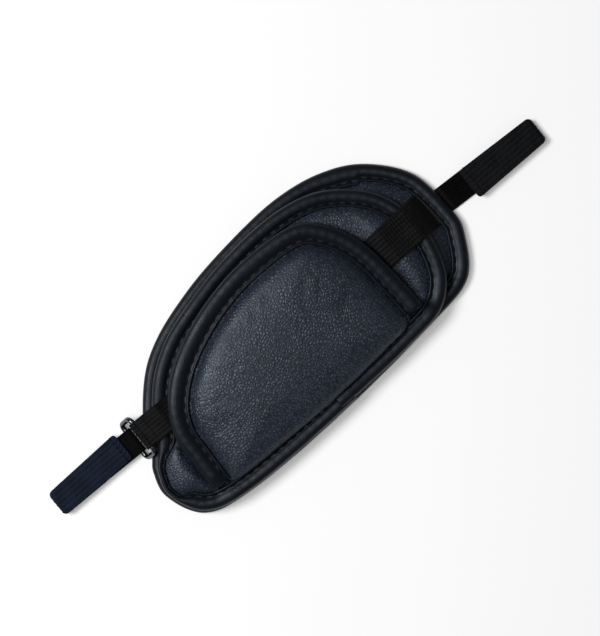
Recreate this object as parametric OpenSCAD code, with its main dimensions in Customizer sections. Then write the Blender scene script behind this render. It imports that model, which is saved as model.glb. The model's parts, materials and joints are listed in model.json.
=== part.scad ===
// Violin shoulder rest: three leather pads, stacked as a wedge and sewn together along one long
// edge, with a hook-and-loop strap at each end. +Z is up through the stack, +X runs along the pads
// and +Y points away from the sewn edge. The origin is at the middle of the underside.

/* [Stack] */
// Tilt of the middle pad about the sewn edge, in degrees
tilt_mid = 3; // [2:0.5:4]
// Tilt of the top pad about its flap line, in degrees
tilt_top = 6.5; // [6:0.5:8]
// How far the large pad's panel swells above its binding
rise_large = 4.6; // [3:0.1:5]
// How far the middle pad's panel swells above its binding
rise_mid = 4.6; // [3:0.1:5]
// How far the top pad's panel swells above its binding
rise_top = 6.4; // [4:0.1:8]

/* [Leather] */
// Thickness of the panel leather
skin_t = 1.0; // [0.8:0.1:1.1]
// Width of the edge binding
bind_w = 7.8; // [7.5:0.1:8.5]
// Distance between stitches
stitch_pitch = 4.7; // [4:0.1:6]
// Length of a stitch
stitch_l = 3.2; // [2:0.1:3.5]

/* [Straps] */
// Thickness of a strap's woven band
band_t = 1.1; // [0.9:0.1:1.1]
// Thickness of the loop pile
pile_t = 1.2; // [0.8:0.1:1.3]
// Thickness of the hook patch
hook_t = 0.8; // [0.6:0.1:0.9]
// Thickness of the pad webbing
web_t = 1.1; // [0.8:0.1:1.2]

/* [Ring] */
// Radius of the ring's wire
wire_r = 1.2; // [1:0.05:1.2]
// Width of the ring's opening
ring_in = 16; // [15:0.5:17]

/* [Hidden] */
$fn = 48;

leather = [0.09, 0.10, 0.13];
edging = [0.06, 0.07, 0.09];
thread = [0.02, 0.02, 0.03];
woven = [0.05, 0.05, 0.06];
steel = [0.75, 0.75, 0.78];

// Heights inside one pad: sole of the binding, rim of the panels, groove and lip of the binding
sole_t = 1.0;
rim_base = 1.05;
rim_top = 3.1;
groove_z = 4.0;
lip_z = 4.3;
bead_z = 4.6;
gap = 0.05;      // between pieces that lie on each other
play = 0.3;      // between pieces that move past each other
rim_u = 1.7;     // how far in from the edge the panels' rims start
groove_u = 6.1;  // how far in from the edge the stitches lie

spine_y = -45;               // line that the middle pad turns up from
mid_z = bead_z + 0.1;        // underside of the middle pad there
flap_y = -36.5;              // line that the top pad turns up from
flap_rise = 3.5;             // underside of the top pad over the middle pad's underside
top_z = mid_z + (flap_y - spine_y) * tan(tilt_mid) + flap_rise;
tab_t = 1.05;                // leather tab of the top pad
web_room = web_t + 0.6;      // space left for the webbing under the top pad

// Bars of the ring, and the woven bands round them
ring_y = 2.8;                // middle of the ring along Y
eye_in = [-84.4, 10.2];      // [x, z] of the bar that the webbing holds
bore_r = wire_r + 0.08;
eye_out = [-89.6, bore_r + band_t];  // [x, z] of the bar that the strap goes round
corner_r = 2.4;              // bend of the wire at the ring's corners
ring_reach = norm(eye_out - eye_in);
ring_turn = atan2(eye_in[1] - eye_out[1], eye_in[0] - eye_out[0]);
web_eye_y = [-3.4, 9.4];
strap_eye_y = [-3.2, 8.8];

// Outlines, counter-clockwise, as the points that a smooth curve passes through
large_line = [[82, -6], [78, 18], [60, 37.3], [33, 45.8], [0, 44.7], [-35, 38.2], [-62, 27],
    [-79, 10], [-83, 1], [-87, -6.5], [-91.6, -13], [-93.7, -25], [-85, -41], [-62, -46.1],
    [-11, -44.7], [45, -38.8], [68, -33.5], [79.5, -18]];
mid_line = [[67.2, -2], [63.5, 15], [54, 28], [38, 38.4], [15, 42], [-15, 39], [-45, 31], [-63, 21],
    [-75, 8], [-79.6, -1], [-84.5, -8], [-89.5, -14], [-92, -25], [-84, -40], [-62, -45.4],
    [-11, -43.9], [30, -40], [50, -36.6], [61, -27.5], [66.3, -14.5]];
top_line = [[45.7, -28], [44.9, -12], [42.8, 5.5], [36.5, 21], [24, 32.6], [0, 34.6], [-25, 31],
    [-48, 22], [-65, 9.5], [-73.4, -5], [-75, -21], [-75.4, -34.9]];
flap_line = [[-75.4, -34.9], [-62, -36.2], [-40, -36.2], [-10, -35.4], [20, -32.6], [38, -30.4], [45.7, -28]];
large_c = [-5, 0];
mid_c = [-13, -2];
top_c = [-15, -3];

// How full the panel is, from its rim (1) to its middle (0)
swell = [0.955, 0.89, 0.82, 0.7, 0.5, 0.25];

// ---- curves ----
function cr(a, b, c, d, t) = 0.5 * (2 * b + (c - a) * t + (2 * a - 5 * b + 4 * c - d) * t * t
    + (3 * b - a - 3 * c + d) * t * t * t);
function closed(p, per) = let (n = len(p))
    [for (i = [0:n - 1], k = [0:per - 1])
        cr(p[(i + n - 1) % n], p[i], p[(i + 1) % n], p[(i + 2) % n], k / per)];
function open(p, per) = let (n = len(p))
    [for (i = [0:n - 2], k = [0:per - 1])
        cr(p[max(i - 1, 0)], p[i], p[i + 1], p[min(i + 2, n - 1)], k / per), p[n - 1]];
function sums(p, n) = [for (i = 0, s = 0; i <= n; s = s + norm(p[(i + 1) % len(p)] - p[i % len(p)]),
    i = i + 1) s];
// The curve again, as n points at equal distances; a closed curve doesn't repeat its first point
function even(p, n, shut) = let (
        m = shut ? len(p) : len(p) - 1,
        s = sums(p, m),
        xs = [for (i = [0:m]) [s[i], p[i % len(p)][0]]],
        ys = [for (i = [0:m]) [s[i], p[i % len(p)][1]]],
        last = shut ? n : n - 1)
    [for (k = [0:n - 1]) [lookup(s[m] * k / last, xs), lookup(s[m] * k / last, ys)]];
function unit(v) = v / norm(v);
function inward(p, i, shut) = let (
        n = len(p),
        a = shut ? p[(i + n - 1) % n] : p[max(i - 1, 0)],
        b = shut ? p[(i + 1) % n] : p[min(i + 1, n - 1)],
        t = unit(b - a))
    [-t[1], t[0]];
function inset(p, d, shut) = [for (i = [0:len(p) - 1]) p[i] + d * inward(p, i, shut)];
function toward(p, c, f) = [for (q = p) c + (q - c) * f];
function clamp01(v) = min(1, max(0, v));

large_edge = even(closed(large_line, 6), 72, true);
mid_edge = even(closed(mid_line, 6), 72, true);
top_arc = even(open(top_line, 6), 54, false);
top_back = even(open(flap_line, 4), 16, false);

// ---- solids from rings of points ----
// Two triangles for each pair of neighbours on rings a and b; turned picks the other diagonal
function ring_faces(a, b, n, turned = false) = [for (i = [0:n - 1]) let (j = (i + 1) % n) each turned
    ? [[a + i, a + j, b + i], [a + j, b + j, b + i]]
    : [[a + i, a + j, b + j], [a + i, b + j, b + i]]];
// A closed shape: rings from one pole to the other
module pillow(rings, first, last, turned = false) {
    n = len(rings[0]);
    m = len(rings);
    points = [each [for (r = rings) each r], first, last];
    faces = [each [for (j = [0:m - 2]) each ring_faces(j * n, (j + 1) * n, n, turned)],
        each [for (i = [0:n - 1]) [n * m, (i + 1) % n, i]],
        each [for (i = [0:n - 1]) [n * m + 1, (m - 1) * n + i, (m - 1) * n + (i + 1) % n]]];
    polyhedron(points, faces);
}
// A bar of constant make: one section for each place along it, closed on itself or with two ends
// cap lists the triangles that fill a section
module sweep(sections, shut, cap) {
    n = len(sections[0]);
    m = len(sections);
    ends = shut ? [] : [each [for (t = cap) [t[2], t[1], t[0]]],
        each [for (t = cap) [for (v = t) (m - 1) * n + v]]];
    faces = [each [for (j = [0:shut ? m - 1 : m - 2]) each ring_faces(j * n, ((j + 1) % m) * n, n)],
        each ends];
    polyhedron([each [for (s = sections) each s]], faces);
}

// ---- heights ----
function fullness(f) = pow(1 - pow(f, 6), 0.7);
function mid_plane(y) = mid_z + (y - spine_y) * tan(tilt_mid);
// The top pad's underside, seen from the middle pad's own frame
function top_plane(y) = flap_rise + (y - flap_y) * tan(tilt_top - tilt_mid);
function free(p) = 10;
function under_mid(p) = mid_plane(p[1]) - 2 * gap;
// Under the top pad the middle panel is pressed flat, and beyond its edge it swells up again
function under_top(p) = max(rim_top, top_plane(p[1]) - web_room
    + 0.6 * (max(0, -77 - p[0]) + max(0, p[0] - 47) + max(0, p[1] - 36)));
function panel_z(p, f, rise, which) = let (
        z = rim_top + rise * fullness(f),
        lid = which == "large" ? under_mid(p) : which == "mid" ? under_top(p) : free(p))
    min(z, lid);
function lift(points, z) = [for (p = points) [p[0], p[1], z]];
function dome(lip, c, f, rise, which, drop) =
    [for (p = toward(lip, c, f)) [p[0], p[1], panel_z(p, f, rise, which) - drop]];
function mirrored(list) = [for (i = [len(list) - 1:-1:0]) list[i]];

// ---- one pad's pieces, in its own frame ----
module base_leather(rim, lip, hole) {
    union() {
        linear_extrude(sole_t + 0.3) polygon(lip);
        translate([0, 0, rim_base]) linear_extrude(skin_t) difference() {
            polygon(rim);
            polygon(hole);
        }
    }
}
module top_leather(rim, lip, c, rise, which) {
    outer = [for (f = swell) dome(lip, c, f, rise, which, 0)];
    inner = [for (f = swell) dome(lip, c, f, rise, which, skin_t)];
    c_top = panel_z(c, 0, rise, which);
    pillow([each mirrored(outer), lift(lip, rim_top), lift(rim, rim_top), lift(rim, rim_top - skin_t + gap),
        lift(lip, rim_top - skin_t + gap), each inner],
        [c[0], c[1], c_top], [c[0], c[1], c_top - skin_t]);
}
module foam(lip, c, rise, which) {
    c_top = panel_z(c, 0, rise, which) - skin_t - 2 * gap;
    floor_z = sole_t + 0.3 + gap;
    pillow([each mirrored([for (f = swell) dome(lip, c, f, rise, which, skin_t + 2 * gap)]),
        lift(toward(lip, c, swell[0]), floor_z)],
        [c[0], c[1], c_top], [c[0], c[1], floor_z], true);
}
// The binding's section, as [distance in from the edge, height]; up raises its upper lip
function bind_section(w, up) = [[w, 0], [1.6, 0], [0.4, 1], [0, 2.4], [0.6, 3.8 + up], [2.5, bead_z + up],
    [4.6, bead_z - 0.1 + up], [5.4, groove_z + up], [6.9, groove_z + up], [7.05, lip_z + up],
    [w, lip_z - 0.05 + up], [w, rim_top + gap + up], [1.45, rim_top + gap + up], [1.45, sole_t], [w, sole_t]];
bind_cap = [[0, 1, 14], [1, 13, 14], [1, 2, 13], [2, 3, 13], [3, 12, 13], [3, 4, 12], [4, 5, 12], [5, 6, 12],
    [6, 7, 12], [7, 11, 12], [7, 8, 11], [8, 9, 11], [9, 10, 11]];
band_cap = [[0, 1, 2], [0, 2, 3]];
function spine_up(p) = 1.2 * clamp01((-28 - p[1]) / 6) * clamp01((78 + p[0]) / 8) * clamp01((52 - p[0]) / 8);
module binding(edge, shut, raised) {
    sweep([for (i = [0:len(edge) - 1]) let (v = inward(edge, i, shut))
        [for (q = bind_section(bind_w, raised ? spine_up(edge[i]) : 0))
            [edge[i][0] + v[0] * q[0], edge[i][1] + v[1] * q[0], q[1]]]], shut, bind_cap);
}
module stitches(edge, shut, raised) {
    line = inset(edge, groove_u, shut);
    m = shut ? len(line) : len(line) - 1;
    total = sums(line, m)[m];
    count = floor(total / stitch_pitch);
    row = even(line, count, shut);
    first = shut ? 0 : 1;
    for (i = [first:count - 1 - first]) {
        v = inward(row, i, shut);
        lift_up = raised ? spine_up(row[i] - groove_u * v) : 0;
        up = lift_up > 0 && lift_up < 1.2 ? lift_up + 0.3 : lift_up;
        translate([row[i][0], row[i][1], groove_z + gap + up + 0.25])
            rotate(atan2(v[1], v[0]) + 90)
                cube([stitch_l, 0.7, 0.4], center = true);
    }
}
module mid_place() {
    translate([0, spine_y, mid_z]) rotate([tilt_mid, 0, 0]) translate([0, -spine_y, 0]) children();
}
module top_place() {
    translate([0, flap_y, top_z]) rotate([tilt_top, 0, 0]) translate([0, -flap_y, 0]) children();
}

// ---- large pad ----
large_rim = inset(large_edge, rim_u, true);
large_lip = inset(large_edge, bind_w + 0.5, true);
module strap_notch() {
    translate([70, -7.2, -1]) cube([14, 14.2, 1 + band_t + gap]);
}
module web_notch() {
    translate([66, -9.8, rim_top + gap]) cube([13.9, 21, 5]);
}
module large_base_leather() {
    color(leather) difference() {
        base_leather(large_rim, large_lip, inset(large_edge, bind_w + 1.6, true));
        strap_notch();
    }
}
module large_foam() {
    color("dimgray") foam(large_lip, large_c, rise_large, "large");
}
module large_top_leather() {
    color(leather) top_leather(large_rim, large_lip, large_c, rise_large, "large");
}
module large_binding() {
    color(edging) difference() {
        binding(large_edge, true, false);
        strap_notch();
        web_notch();
    }
}
module large_stitches() {
    color(thread) difference() {
        stitches(large_edge, true, false);
        web_notch();
    }
}

// ---- middle pad ----
mid_rim = inset(mid_edge, rim_u, true);
mid_lip = inset(mid_edge, bind_w + 0.5, true);
module middle_base_leather() {
    color(leather) mid_place() base_leather(mid_rim, mid_lip, inset(mid_edge, bind_w + 1.6, true));
}
module middle_foam() {
    color("dimgray") mid_place() foam(mid_lip, mid_c, rise_mid, "mid");
}
module middle_top_leather() {
    color(leather) mid_place() top_leather(mid_rim, mid_lip, mid_c, rise_mid, "mid");
}
// Where the left webbing presses into the binding's lip
module left_web_notch() {
    translate([-74.4, web_eye_y[0] - play, 3.85]) cube([8.4, web_eye_y[1] - web_eye_y[0] + 2 * play, 3]);
}
module middle_binding() {
    color(edging) mid_place() difference() {
        binding(mid_edge, true, true);
        left_web_notch();
    }
}
module middle_stitches() {
    color(thread) mid_place() difference() {
        stitches(mid_edge, true, true);
        left_web_notch();
    }
}

// ---- top pad, a flap ----
// Its leather tab under the middle pad's binding
module small_spine_tab() {
    back = [for (i = [1:len(top_back) - 3]) top_back[i] + [0, -1.2]];
    color(leather) mid_place() translate([0, 0, rim_top + gap + 0.02])
        linear_extrude(tab_t) polygon([each back, each mirrored([for (p = back) p + [0, -5]])]);
}
// The outline at a distance in from the curved edge, closed along the flap line
function flap_outline(d, dy) = let (
        arc = inset(top_arc, d, false),
        a = arc[len(arc) - 1][0],
        b = arc[0][0])
    [each arc, each [for (i = [1:14]) let (x = a + (b - a) * i / 15) [x, lookup(x, top_back) + dy]]];
top_rim = flap_outline(rim_u, 0);
top_lip = flap_outline(bind_w + 0.5, 0.7);
top_hole = toward(top_lip, top_c, 0.965);
module small_base_leather() {
    color(leather) top_place() base_leather(top_rim, top_lip, top_hole);
}
module small_foam() {
    color("dimgray") top_place() foam(top_lip, top_c, rise_top, "top");
}
module small_top_leather() {
    color(leather) top_place() top_leather(top_rim, top_lip, top_c, rise_top, "top");
}
module small_binding() {
    color(edging) top_place() binding(top_arc, false, false);
}
module small_stitches() {
    color(thread) top_place() stitches(top_arc, false, false);
}

// ---- webbing ----
// Stations as [x, height above the middle pad's underside] and then [x, height above the floor]
web_over_mid = [[28, 0], [43.8, 0], [46, 0.7], [50.4, 2.7], [55.8, 1.7], [59.4, 1.45], [62, 1.7],
    [65, 1.75], [67.3, 1.4]];
web_low = [-8.7, 7.3];
function web_base(y) = top_plane(y) - web_room + gap + 0.05;
function web_mid_z(h, x, y) = mid_plane(y) + (x < 46 ? web_base(y) + h : web_base(0) + h);
web_over_large = [[68.6, 9.3], [70.6, 6.6], [73, 4.2], [75, 3.45], [79.7, 3.4]];
function web_y(x, side) = web_low[side] + (side == 1 ? 3.2 : 1.7) * clamp01((x - 50) / 28);
function web_section(x, z0, z1) = [[x, web_y(x, 0), z0 + web_t], [x, web_y(x, 1), z1 + web_t],
    [x, web_y(x, 1), z1], [x, web_y(x, 0), z0]];
module webbing_right() {
    color(woven) sweep([
        each [for (s = web_over_mid) web_section(s[0], web_mid_z(s[1], s[0], web_low[0]),
            web_mid_z(s[1], s[0], web_low[1]))],
        each [for (s = web_over_large) web_section(s[0], s[1], s[1])]], false, band_cap);
}

// ---- ring and the webbing that holds it ----
module bar(a, b, r) {
    translate([0, a, 0]) rotate([-90, 0, 0]) cylinder(h = b - a, r = r);
}
module ring() {
    half = (ring_in + 2 * wire_r) / 2;
    long = half - corner_r;
    color(steel) translate([eye_in[0], ring_y, eye_in[1]]) rotate([0, -ring_turn, 0]) translate([-ring_reach, 0, 0])
        union() {
            for (x = [0, ring_reach]) translate([x, 0, 0]) bar(-long, long, wire_r);
            for (s = [-1, 1]) translate([corner_r, s * half, 0]) rotate([0, 90, 0])
                cylinder(h = ring_reach - 2 * corner_r, r = wire_r);
            for (a = [0:3]) translate([a == 0 || a == 3 ? ring_reach - corner_r : corner_r,
                (a < 2 ? 1 : -1) * long, 0])
                rotate(a * 90) rotate_extrude(angle = 90) translate([corner_r, 0]) circle(r = wire_r);
        }
}
// Stations as [x, height above the middle pad's underside]
web_left_path = [[-58, 0], [-72.6, 0], [-74, 0.6], [-76, 1.0], [-78, 1.2], [-80.6, 1.3]];
module webbing_left() {
    ends = web_eye_y;
    end_z = eye_in[1] + bore_r;
    color(woven) union() {
        sweep([
            each [for (s = web_left_path) let (z0 = mid_plane(ends[0]) + web_base(ends[0]) + s[1],
                z1 = mid_plane(ends[1]) + web_base(ends[1]) + s[1])
                [[s[0], ends[0], z0], [s[0], ends[1], z1], [s[0], ends[1], z1 + web_t], [s[0], ends[0], z0 + web_t]]],
            [[eye_in[0], ends[0], end_z + 0.05], [eye_in[0], ends[1], end_z + 0.05],
             [eye_in[0], ends[1], end_z + web_t - 0.1], [eye_in[0], ends[0], end_z + web_t - 0.1]]],
            false, band_cap);
        translate([eye_in[0], 0, eye_in[1]]) difference() {
            bar(ends[0], ends[1], bore_r + web_t);
            bar(ends[0] - 1, ends[1] + 1, bore_r);
        }
    }
}

// ---- straps ----
pile_z = band_t + gap;
hook_z = pile_z + pile_t + 0.12;
tail_z = hook_z + hook_t + gap;
fold_r = (tail_z + band_t) / 2;      // outer radius of the fold, and height of its middle
fold_in = fold_r - band_t;
tail_gap = 2.6;                      // how far in from the fold the loose tail starts
right_root_x = 82.6;
right_fold_x = 131.4;
left_fold_x = -131.4;
// Plan outlines, counter-clockwise
right_band_line = [[right_root_x, -6.3], [right_fold_x, -8.1], [right_fold_x, 4.3], [right_root_x, 6]];
right_tail_line = [[94.5, -9.5], [right_fold_x - tail_gap, -8.4], [right_fold_x - tail_gap, 4.5], [94.5, 5.5]];
left_band_line = [[left_fold_x, -3.4], [eye_out[0], strap_eye_y[0]], [eye_out[0], strap_eye_y[1]],
    [left_fold_x, 8.6]];
left_tail_line = [[left_fold_x + tail_gap, -3.6], [-94.5, -2.4], [-94.5, 11], [left_fold_x + tail_gap, 8.8]];

// The band's far end, rolled up and back over
module fold(x, low, high, way) {
    translate([x, 0, fold_r]) difference() {
        bar(low, high, fold_r);
        bar(low - 1, high + 1, fold_in);
        translate([way > 0 ? -5 : 0, low - 1, -5]) cube([5, high - low + 2, 10]);
    }
}
module plan(line, z, t) {
    translate([0, 0, z]) linear_extrude(t) polygon(line);
}
// A patch covers the band's outline from x = a to x = b, a little in from its sides
module patch(line, z, t, a, b) {
    translate([0, 0, z]) linear_extrude(t) intersection() {
        polygon(line);
        translate([a, -20]) square([b - a, 40]);
    }
}
module right_strap_root() {
    color(woven) union() {
        translate([71, -6.3, 0]) cube([right_root_x - 71 - band_t / 2 - play, 12.3, band_t - gap]);
    }
}
module right_strap_band() {
    color(woven) union() {
        plan(right_band_line, 0, band_t);
        translate([right_root_x, 0, band_t / 2]) bar(-6.3, 6, band_t / 2);
        fold(right_fold_x, -8.1, 4.3, 1);
    }
}
module right_pile_patch() {
    color("black") patch(right_band_line, pile_z, pile_t, right_root_x + 0.8, right_fold_x - 3.4);
}
module right_hook_patch() {
    color("black") patch(right_tail_line, hook_z, hook_t, 96, right_fold_x - 3.4);
}
module right_strap_tail() {
    color(woven) plan(right_tail_line, tail_z, band_t);
}
module left_strap_band() {
    y0 = strap_eye_y[0];
    y1 = strap_eye_y[1];
    color(woven) difference() {
        union() {
            plan(left_band_line, 0, band_t);
            translate([eye_out[0], 0, eye_out[1]]) bar(y0, y1, bore_r + band_t);
            fold(left_fold_x, -3.4, 8.6, -1);
        }
        translate([eye_out[0], 0, eye_out[1]]) bar(y0 - 1, y1 + 1, bore_r);
    }
}
module left_pile_patch() {
    color("black") patch(left_band_line, pile_z, pile_t, left_fold_x + 3.4, eye_out[0] - 3);
}
module left_hook_patch() {
    color("black") patch(left_tail_line, hook_z, hook_t, left_fold_x + 3.4, -96);
}
module left_strap_tail() {
    color(woven) plan(left_tail_line, tail_z, band_t);
}

large_base_leather();
large_foam();
large_top_leather();
large_binding();
large_stitches();
middle_base_leather();
middle_foam();
middle_top_leather();
middle_binding();
middle_stitches();
small_spine_tab();
small_base_leather();
small_foam();
small_top_leather();
small_binding();
small_stitches();
webbing_right();
webbing_left();
ring();
right_strap_root();
right_strap_band();
right_pile_patch();
right_hook_patch();
right_strap_tail();
left_strap_band();
left_pile_patch();
left_hook_patch();
left_strap_tail();
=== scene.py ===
# %% [markdown]
# # A violin shoulder rest in three padded tiers
# The object is three leather pads, sewn together along one long edge so that they open like the
# pages of a book. Webbing holds the lower two down, and a hook-and-loop strap at each end ties the
# rest to the instrument. This first cell loads the fixed frame: every rigid part is already there
# at its real size, and everything made below is fitted to it.

# %% Load the frame
import json
import math

import bmesh
import bpy
from mathutils import Matrix, Vector, noise
from mathutils.bvhtree import BVHTree


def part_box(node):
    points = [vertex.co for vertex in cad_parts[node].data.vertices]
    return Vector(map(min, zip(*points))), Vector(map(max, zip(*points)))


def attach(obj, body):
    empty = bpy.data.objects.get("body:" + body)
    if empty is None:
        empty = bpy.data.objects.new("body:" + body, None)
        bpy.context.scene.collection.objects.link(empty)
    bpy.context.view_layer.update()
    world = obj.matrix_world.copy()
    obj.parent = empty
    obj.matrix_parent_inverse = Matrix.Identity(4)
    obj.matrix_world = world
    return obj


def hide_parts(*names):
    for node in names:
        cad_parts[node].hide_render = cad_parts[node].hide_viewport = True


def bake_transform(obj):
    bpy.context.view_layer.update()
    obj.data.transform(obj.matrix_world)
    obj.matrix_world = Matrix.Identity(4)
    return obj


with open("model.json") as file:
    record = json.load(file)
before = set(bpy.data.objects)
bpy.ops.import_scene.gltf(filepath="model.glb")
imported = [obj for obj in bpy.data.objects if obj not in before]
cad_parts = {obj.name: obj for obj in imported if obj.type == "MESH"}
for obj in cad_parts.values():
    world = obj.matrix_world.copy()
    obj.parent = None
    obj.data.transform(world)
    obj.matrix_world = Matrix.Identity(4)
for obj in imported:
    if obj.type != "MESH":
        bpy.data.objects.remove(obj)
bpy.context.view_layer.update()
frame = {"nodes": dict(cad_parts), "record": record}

MM = 0.001


def new_object(name, data):
    """An object in the scene, at the origin."""
    obj = bpy.data.objects.new(name, data)
    bpy.context.collection.objects.link(obj)
    return obj


# %% [markdown]
# ## Camera
# The rest lies on a table and is seen from straight above, turned so that it runs up to the right.
# A long lens keeps the tiers from growing towards the camera, so outlines stay true.

# %% Camera
LENS = 135.0
SENSOR = 36.0
VIEW_HEIGHT = 276.8 * MM
EYE_PLANE = 6 * MM
LOOK_AT = (0.6 * MM, -0.8 * MM)
TURN = math.radians(-39)
camera = new_object("camera", bpy.data.cameras.new("camera"))
camera.data.lens = LENS
camera.data.sensor_width = SENSOR
camera.location = (*LOOK_AT, EYE_PLANE + VIEW_HEIGHT * LENS / SENSOR)
camera.rotation_euler = (0, 0, TURN)
bpy.context.scene.camera = camera
print("camera stands", round(camera.location.z, 3), "m above the table")

# %% [markdown]
# ## Node helpers
# Materials and grown rows are small networks of nodes. These functions make a node, join two, and
# cover the steps that nearly every material takes: sums, smooth ramps, mixed colours, noise, bump.

# %% Node helpers
def link(tree, a, b):
    tree.links.new(a, b)


def new_material(name):
    material = bpy.data.materials.new(name)
    material.use_nodes = True
    tree = material.node_tree
    return material, tree, tree.nodes["Principled BSDF"]


def add_node(tree, kind, **settings):
    """A new node. Each setting is a property of it, or else the value of one of its inputs."""
    node = tree.nodes.new(kind)
    for key, value in settings.items():
        if hasattr(node, key):
            setattr(node, key, value)
        else:
            node.inputs[key].default_value = value
    return node


def maths(tree, operation, a, b, c=None):
    node = tree.nodes.new("ShaderNodeMath")
    node.operation = operation
    for socket, value in zip(node.inputs, (a, b, c)):
        if value is None:
            continue
        if isinstance(value, (int, float)):
            socket.default_value = value
        else:
            link(tree, value, socket)
    return node.outputs[0]


def ramp(tree, value, low, high, from_value, to_value):
    node = tree.nodes.new("ShaderNodeMapRange")
    node.interpolation_type = "SMOOTHSTEP"
    limits = ("From Min", low), ("From Max", high), ("To Min", from_value), ("To Max", to_value)
    for key, number in limits:
        node.inputs[key].default_value = number
    link(tree, value, node.inputs["Value"])
    return node.outputs["Result"]


def tint(tree, factor, dark, light):
    node = tree.nodes.new("ShaderNodeMix")
    node.data_type = "RGBA"
    node.inputs["A"].default_value = (*dark, 1)
    node.inputs["B"].default_value = (*light, 1)
    link(tree, factor, node.inputs["Factor"])
    return node.outputs["Result"]


def mix_shaders(tree, factor, first, second):
    mix = tree.nodes.new("ShaderNodeMixShader")
    for socket, value in zip(mix.inputs, (factor, first, second)):
        link(tree, value, socket)
    return mix.outputs[0]


def object_place(tree):
    return tree.nodes.new("ShaderNodeTexCoord").outputs["Object"]


def noise_node(tree, place, scale, detail):
    node = add_node(tree, "ShaderNodeTexNoise", Scale=scale, Detail=detail)
    link(tree, place, node.inputs["Vector"])
    return node.outputs


def add_bump(tree, shader, height, depth_mm, strength):
    bump = add_node(tree, "ShaderNodeBump", Distance=depth_mm * MM, Strength=strength)
    link(tree, height, bump.inputs["Height"])
    link(tree, bump.outputs["Normal"], shader.inputs["Normal"])


print("node helpers ready")

# %% [markdown]
# ## Table, lamps and world
# Black leather is drawn by what it reflects. A wide soft lamp on the curved side rakes over the
# grain, a weaker one overhead opens the shadows, and a pale world fills the rest. The table is
# pale: part of its white is light that only the camera and mirrors see, so the lamps can stay at a
# plain level and the shadow still falls on it.

# %% Table, lamps and world
WHITE = (1, 1, 1, 1)
TABLE_COLOUR = (0.86, 0.86, 0.86, 1)
TABLE_GLOW = 0.19
TABLE_HALF = 3.0
WORLD_STRENGTH = 0.16
LAMPS = [("key", (-0.75, 0.72, 1.45), 0.75, 24.0), ("top", (-0.36, 0.12, 1.6), 0.45, 5.0)]


def lamp(name, place, size, watts):
    data = bpy.data.lights.new(name, "AREA")
    data.shape = "DISK"
    data.size = size
    data.energy = watts
    obj = new_object(name, data)
    obj.location = place
    obj.rotation_euler = (-Vector(place)).to_track_quat("-Z", "Y").to_euler()


def white_to_camera(tree, base, colour, share):
    """Adds light of its own to a surface, for the camera, mirrors and glass only."""
    path = add_node(tree, "ShaderNodeLightPath")
    seen = maths(tree, "MAXIMUM", path.outputs["Is Camera Ray"], path.outputs["Is Glossy Ray"])
    seen = maths(tree, "MAXIMUM", seen, path.outputs["Is Transmission Ray"])
    glow = add_node(tree, "ShaderNodeEmission", Color=colour, Strength=share)
    dark = add_node(tree, "ShaderNodeEmission", Strength=0.0)
    add = add_node(tree, "ShaderNodeAddShader")
    link(tree, base, add.inputs[0])
    link(tree, mix_shaders(tree, seen, dark.outputs[0], glow.outputs[0]), add.inputs[1])
    return add.outputs[0]


def make_table():
    h = TABLE_HALF
    mesh = bpy.data.meshes.new("table")
    mesh.from_pydata([(-h, -h, 0), (h, -h, 0), (h, h, 0), (-h, h, 0)], [], [(0, 1, 2, 3)])
    material, tree, shader = new_material("pale_table")
    shader.inputs["Base Color"].default_value = TABLE_COLOUR
    shader.inputs["Roughness"].default_value = 0.9
    shader.inputs["Specular IOR Level"].default_value = 0.0
    surface = white_to_camera(tree, shader.outputs[0], WHITE, TABLE_GLOW)
    link(tree, surface, tree.nodes["Material Output"].inputs["Surface"])
    mesh.materials.append(material)
    obj = new_object("table", mesh)
    obj.location.z = -0.2 * MM


def make_world():
    world = bpy.data.worlds.new("studio")
    bpy.context.scene.world = world
    world.use_nodes = True
    tree = world.node_tree
    soft = tree.nodes["Background"]
    soft.inputs["Color"].default_value = WHITE
    soft.inputs["Strength"].default_value = WORLD_STRENGTH
    bright = add_node(tree, "ShaderNodeBackground", Color=WHITE)
    path = add_node(tree, "ShaderNodeLightPath")
    mix = mix_shaders(tree, path.outputs["Is Camera Ray"], soft.outputs[0], bright.outputs[0])
    link(tree, mix, tree.nodes["World Output"].inputs["Surface"])


bpy.context.scene.view_settings.view_transform = "Standard"
make_table()
make_world()
for name, place, size, watts in LAMPS:
    lamp(name, place, size, watts)
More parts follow.
